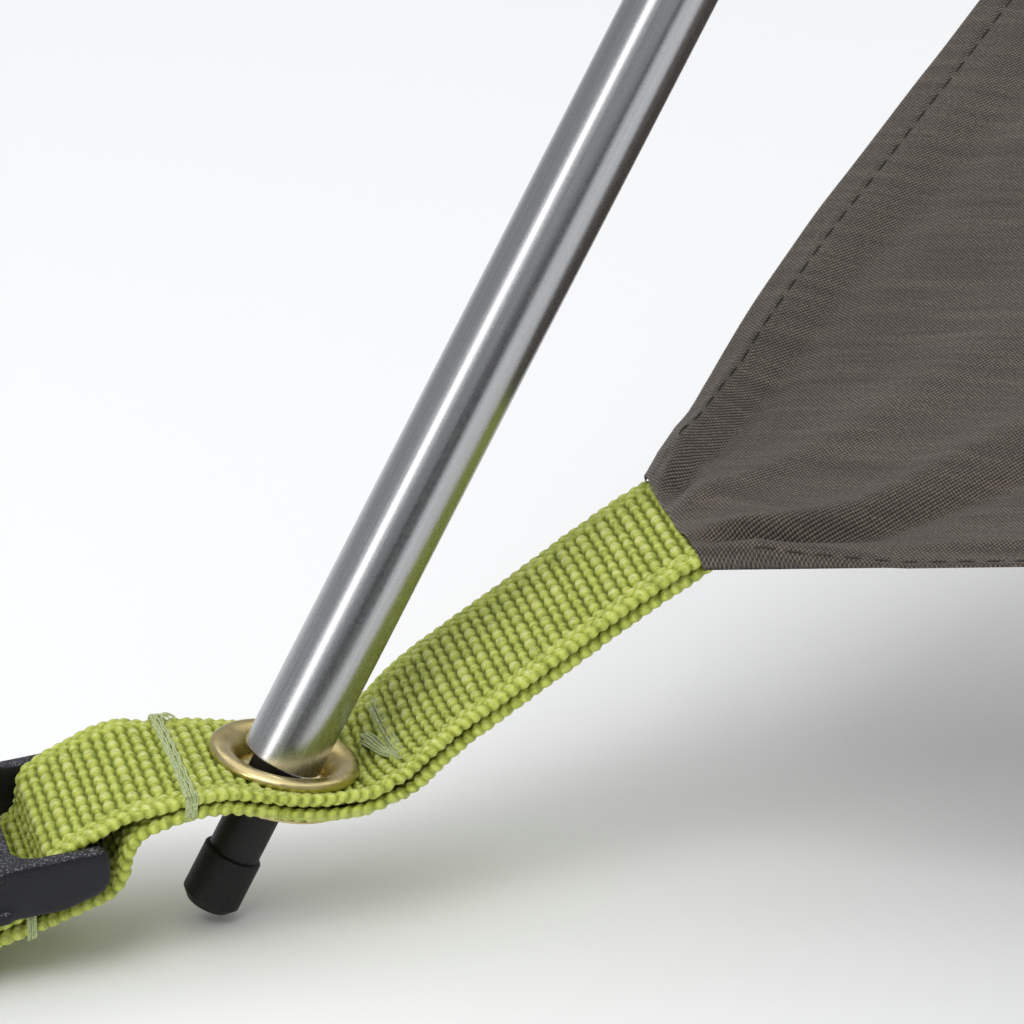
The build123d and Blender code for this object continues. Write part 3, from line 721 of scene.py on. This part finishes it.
# Soft folds that run out from the strap: their line as (share of the hem's length, share of the way back),
# their height above the sheet, and their half width in millimetres at the start and at the end
FOLDS = [
    ([(0.00, 0.60), (0.05, 0.70), (0.15, 0.79), (0.35, 0.85), (0.8, 0.88)], -0.9, 1.6, 5.0),
    ([(0.00, 0.72), (0.06, 0.85), (0.16, 0.92), (0.4, 0.93)], 0.5, 1.2, 2.5),
    ([(0.00, 0.45), (0.05, 0.48), (0.15, 0.52), (0.4, 0.56), (0.9, 0.6)], 0.6, 1.6, 8.0),
    ([(0.02, 0.12), (0.10, 0.14), (0.25, 0.23), (0.5, 0.32), (0.95, 0.42)], -1.1, 1.2, 5.0),
    ([(0.05, 0.20), (0.12, 0.24), (0.28, 0.34), (0.55, 0.44), (0.95, 0.55)], 0.7, 1.3, 5.5),
    ([(0.06, 0.06), (0.15, 0.06), (0.35, 0.09), (0.7, 0.13)], 0.45, 1.0, 4.0),
]


def heading(turn, rise):
    """Unit vector with that heading in plan and that rise, both in degrees."""
    flat = cos(radians(rise))
    return np.array((cos(radians(turn)) * flat, sin(radians(turn)) * flat, sin(radians(rise))))


def hem_line(side, share):
    """Points of a hem's fold, from the grommet; the back one bows outwards."""
    share = np.asarray(share, dtype=float)
    along = heading(*(FRONT_HEM if side < 0 else BACK_HEM))
    line = HEM_START[side] + along * share[:, None] * FLY_REACH
    if side > 0:
        places, bows = zip(*resampled(BOW, 2.0)[0])
        return line + BOW_OUT * np.interp(share * FLY_REACH, places, bows)[:, None]
    return line


def fold_height(share, back, width):
    """Height of all folds over the flat sheet, at shares along and back and the sheet's width there."""
    height = np.zeros_like(back)
    for line, rise, narrow, wide in FOLDS:
        middle = np.interp(share, [p[0] for p in line], [p[1] for p in line])
        half = np.interp(share, [line[0][0], line[-1][0]], [narrow, wide])
        strength = np.interp(share, [0, line[0][0] + 0.02, line[-1][0], 1.0], [0.25, 1.0, 0.45, 0.1])
        height += FOLD_DEPTH * rise * strength * np.exp(-((back - middle) * width / half) ** 2)
    return height


def sheet_point(share, back):
    """Points of the fly's upper face: shares along the hems, and from the front hem to the back one."""
    share, back = share.ravel(), back.ravel()
    front, rear = hem_line(-1, share), hem_line(1, share)
    flat = front + (rear - front) * back[:, None]
    width = np.linalg.norm(rear - front, axis=1)
    out = np.cross(rear - front, heading(*SHEET_MIDDLE))
    out /= -np.linalg.norm(out, axis=1)[:, None]
    inside = np.clip(np.minimum(back, 1 - back) * width / FOLD_FADE, 0, 1)
    crown = -SAG * width * 4 * back * (1 - back) * np.clip(share / 0.2, 0, 1)
    edge = np.clip(np.minimum(back / 1.6, (1 - back) / 4.5) * width, 0, 1)
    arch = np.interp(share, *zip(*ARCH)) * np.sqrt(1 - (1 - edge) ** 2)
    height = fold_height(share, back, width) * inside + crown + arch
    return flat + out * height[:, None], out, width


def build_fly(material):
    """The fly's corner as one sheet, turned under at both hems and over the strap."""
    rows, close_rows, dense = 300, 90, 0.12       # the first share of the hems has its rows closer together
    share = np.concatenate([np.linspace(0, dense, close_rows, endpoint=False),
                            np.linspace(dense, 1, rows - close_rows)])
    # Distances from a hem's fold, those on the turned-under side negative
    arc = [-4.6, -3.6, -2.6, -1.7, -0.9, -0.45, -0.12, 0.0, 0.12, 0.45, 0.9, 1.4, 1.9, 2.4, 2.8, 3.1, 3.3,
           3.5, 3.8, 4.2, 4.7]
    columns = [(-1, d) for d in arc]
    columns += [(0, place) for place in np.linspace(0, 1, 150)[1:-1]]
    columns += [(1, d) for d in reversed(arc)]
    points = np.empty((rows, len(columns), 3))
    width = np.linalg.norm(hem_line(1, share) - hem_line(-1, share), axis=1)
    for k, (side, d) in enumerate(columns):
        if side == 0:
            back = (HEM_BAND + d * (width - 2 * HEM_BAND)) / width
            points[:, k] = sheet_point(share, back)[0]
            continue
        reach = abs(d)
        edge = np.minimum(reach, width * 0.23)
        back = edge / width if side < 0 else 1 - edge / width
        top, out, _ = sheet_point(share, back)
        stitch = HEM_STITCH[side]
        puff = HEM_FOLD * np.sqrt(np.clip(1 - (1 - min(reach / 0.8, 1)) ** 2, 0, 1))
        puff *= np.clip(share * FLY_REACH / 3.0, 0.12, 1)
        puff *= 0.25 + 0.75 * np.clip(abs(reach - stitch) / 0.8, 0, 1) if reach < stitch + 1.2 else 1.0
        lift = puff if d >= 0 else -puff
        if d > 0 and reach > stitch:
            lift = puff * np.clip(1 - (reach - stitch) / 1.8, 0, 1) * 0.6 + 0.1
        points[:, k] = top + out * lift[:, None]
    points = mouth_folded(points, share)
    return new_sheet(points + GROMMET, material)


def mouth_folded(points, share):
    """Adds the fabric's turned-in end over the strap: rows that curl down and back under."""
    first = points[0]
    away = first - points[3]
    away /= np.linalg.norm(away, axis=1)[:, None]
    place = np.arange(len(first))
    share = np.clip((np.minimum(place, place[::-1]) - 12) / 14.0, 0.12, 1)[:, None]
    curl = []
    for angle in (150, 115, 80, 45, 18):
        turn = radians(angle)
        curl.append(first + (away * 0.3 * sin(turn) + np.array((0, 0, -0.3)) * (1 - cos(turn))) * share)
    inside = curl[0] - away * 2.0 * share
    return np.concatenate([np.array([inside, *curl]), points])


def new_sheet(points, material):
    """A sheet's object from a grid of points, with its cut directions as its UV map."""
    rows, columns = points.shape[:2]
    flat = points.reshape(-1, 3)
    sheet = new_object("fly_sheet", flat, grid_faces(rows, columns), material)
    level = heading(*WEAVE_ALONG)
    rise = np.cross(np.cross(level, WEAVE_FACE), level)
    rise /= np.linalg.norm(rise)
    set_uv(sheet, "cut", np.stack([flat @ level, flat @ rise], axis=1) * MM)
    return sheet


def hem_stitches(side, material):
    """The row of lock stitches along a hem: each dips into the sheet at its ends."""
    runs = []
    length, pitch = FLY_REACH * 0.95, 2.9
    inset = HEM_STITCH[side]
    for k in range(int(length / pitch) - 1):
        shares = (6.0 + pitch * k + np.linspace(0, pitch * 0.86, 7)) / FLY_REACH
        width = np.linalg.norm(hem_line(1, shares) - hem_line(-1, shares), axis=1)
        back = inset / width if side < 0 else 1 - inset / width
        top, out, _ = sheet_point(shares, back)
        depth = 0.24 - 0.34 * np.abs(np.linspace(-1, 1, 7)) ** 3
        runs.append(top + out * depth[:, None] + GROMMET)
    name = "front_hem_thread" if side < 0 else "back_hem_thread"
    return tubes(name, runs, 0.1, material)


# Stage

VIEW_TURN, VIEW_RISE = radians(-13.3), radians(25.1)
PIXELS_PER_MM = 9.72
DISTANCE = 650.0
FRAME_SIDE = 1024
SENSOR = 36.0


def view_axes():
    """Right, up and forward of the main view."""
    right = np.array((cos(VIEW_TURN), sin(VIEW_TURN), 0))
    flat = np.array((-sin(VIEW_TURN), cos(VIEW_TURN), 0))
    forward = flat * cos(VIEW_RISE) - np.array((0, 0, sin(VIEW_RISE)))
    return right, np.cross(right, forward), forward


def build_camera():
    """A long lens at the main view's angle."""
    right, up, forward = view_axes()
    target = GROMMET + 23.35 * right + 24.95 * up
    data = bpy.data.cameras.new("camera")
    data.sensor_width = SENSOR
    data.lens = PIXELS_PER_MM * SENSOR * DISTANCE / FRAME_SIDE
    data.clip_start, data.clip_end = 0.01, 20
    camera = bpy.data.objects.new("camera", data)
    turn = Matrix((right, up, -forward)).transposed()
    camera.matrix_world = Matrix.Translation(Vector((target - forward * DISTANCE) * MM)) @ turn.to_4x4()
    bpy.context.scene.collection.objects.link(camera)
    bpy.context.scene.camera = camera


def build_floor():
    """A pale floor at the height that the pole's foot stands on."""
    half = 6000.0
    corners = [(-half, -half, GROUND), (half, -half, GROUND), (half, half, GROUND), (-half, half, GROUND)]
    floor = new_object("floor", corners, [(0, 1, 2, 3)], ground_material(), smooth=False)


def soft_light(name, turn, rise, size, power, distance=900.0, aim=GROMMET):
    """A softbox at an angle round the place it is turned towards."""
    light = bpy.data.lights.new(name, "AREA")
    light.shape = "RECTANGLE"
    light.size, light.size_y = size[0] * MM, size[1] * MM
    light.energy = power
    holder = bpy.data.objects.new(name, light)
    centre = Vector(aim * MM)
    place = centre + Vector(heading(turn, rise)) * distance * MM
    turned = (place - centre).to_track_quat("Z", "Y").to_matrix().to_4x4()
    holder.matrix_world = Matrix.Translation(place) @ turned
    bpy.context.scene.collection.objects.link(holder)


def build_lights():
    """A key from the front left, a wide light overhead, a strip and a dark card for the pole, a pale sky."""
    world = bpy.data.worlds.new("studio")
    world.use_nodes = True
    world.node_tree.nodes["Background"].inputs["Color"].default_value = (0.95, 0.97, 1.0, 1)
    world.node_tree.nodes["Background"].inputs["Strength"].default_value = 0.42
    scene = bpy.context.scene
    scene.world = world
    scene.view_settings.view_transform = "Standard"
    soft_light("key", -125, 58, (450, 450), 2.6)
    soft_light("overhead", 60, 78, (1500, 1500), 6.2)
    soft_light("strip", 205, 7.6, (160, 700), 1.4, distance=700.0, aim=GROMMET + POLE_AXIS * 45)
    dark_card()


def dark_card():
    """A black card on the floor in front, out of the picture, for the dark band along the pole."""
    material, _, shader = new_material("black_card")
    shader.inputs["Base Color"].default_value = (0.01, 0.01, 0.01, 1)
    shader.inputs["Roughness"].default_value = 0.9
    corners = []
    for turn, reach in ((222, 75), (222, 620), (284, 620), (284, 75)):
        place = GROMMET + heading(turn, 0.0) * reach
        corners.append((place[0], place[1], GROUND + 0.5))
    card = new_object("black_card", corners, [(0, 1, 2, 3)], material, smooth=False)
    card.visible_camera = False
    card.visible_diffuse = False
    card.visible_shadow = False


def main():
    """Builds every piece, says what each rides on and replaces, and lights the scene."""
    webbing_look = webbing_material()
    tack_look = thread_material("tack_thread", linear(132, 148, 92), linear(196, 206, 154))
    dark_look = thread_material("hem_thread", linear(20, 20, 16), linear(44, 44, 36))
    brass, metal = brass_material(), aluminium_material()
    tip_look = black_material("tip_plastic", (0.003, 0.003, 0.003), 0.5, 3200.0, 0.00003)
    foot_look = black_material("foot_rubber", (0.004, 0.004, 0.004), 0.6, 2600.0, 0.00003)
    # The buckle's plastic is glossier and has painted glints on its upward faces.
    buckle_look = black_material("buckle_plastic", (0.006, 0.0065, 0.009), 0.45, 4200.0, 0.0001,
                                 gloss_and_painted_glints=0.12)
    looks = {"grommet_eyelet": brass, "grommet_washer": brass, "pole_tube": metal, "pole_ferrule": metal,
             "cord_washer": metal, "pole_tip": tip_look, "foot_cap": foot_look,
             "shock_cord": cord_material()}
    looks["cord_lower_knot"] = looks["cord_upper_knot"] = looks["shock_cord"]
    for name, look in looks.items():
        mesh = frame["nodes"][name].data
        mesh.materials.clear()
        mesh.materials.append(look)

    webbing = build_webbing(webbing_look)
    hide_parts("strap_upper_layer", "strap_lower_layer", "peg_loop", "arm_upper_layer",
                "arm_lower_layer")
    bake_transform(webbing)
    for thread, node in ((outer_tack(tack_look), "outer_tack"), (inner_tack(tack_look), "inner_tack"),
                         (loop_tack(tack_look), "loop_tack")):
        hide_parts(node)
        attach(thread, "strap")

    buckle = build_buckle(buckle_look)
    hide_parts("buckle_socket")
    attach(buckle, "buckle")

    fly = build_fly(fly_material())
    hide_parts("fly_panel", "front_hem", "back_hem", "seam_fold", "corner_patch", "corner_stitching")
    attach(fly, "fly")
    for side, node in ((-1, "front_hem_stitching"), (1, "back_hem_stitching")):
        row = hem_stitches(side, dark_look)
        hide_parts(node)
        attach(row, "fly")

    build_floor()
    build_lights()
    build_camera()


main()
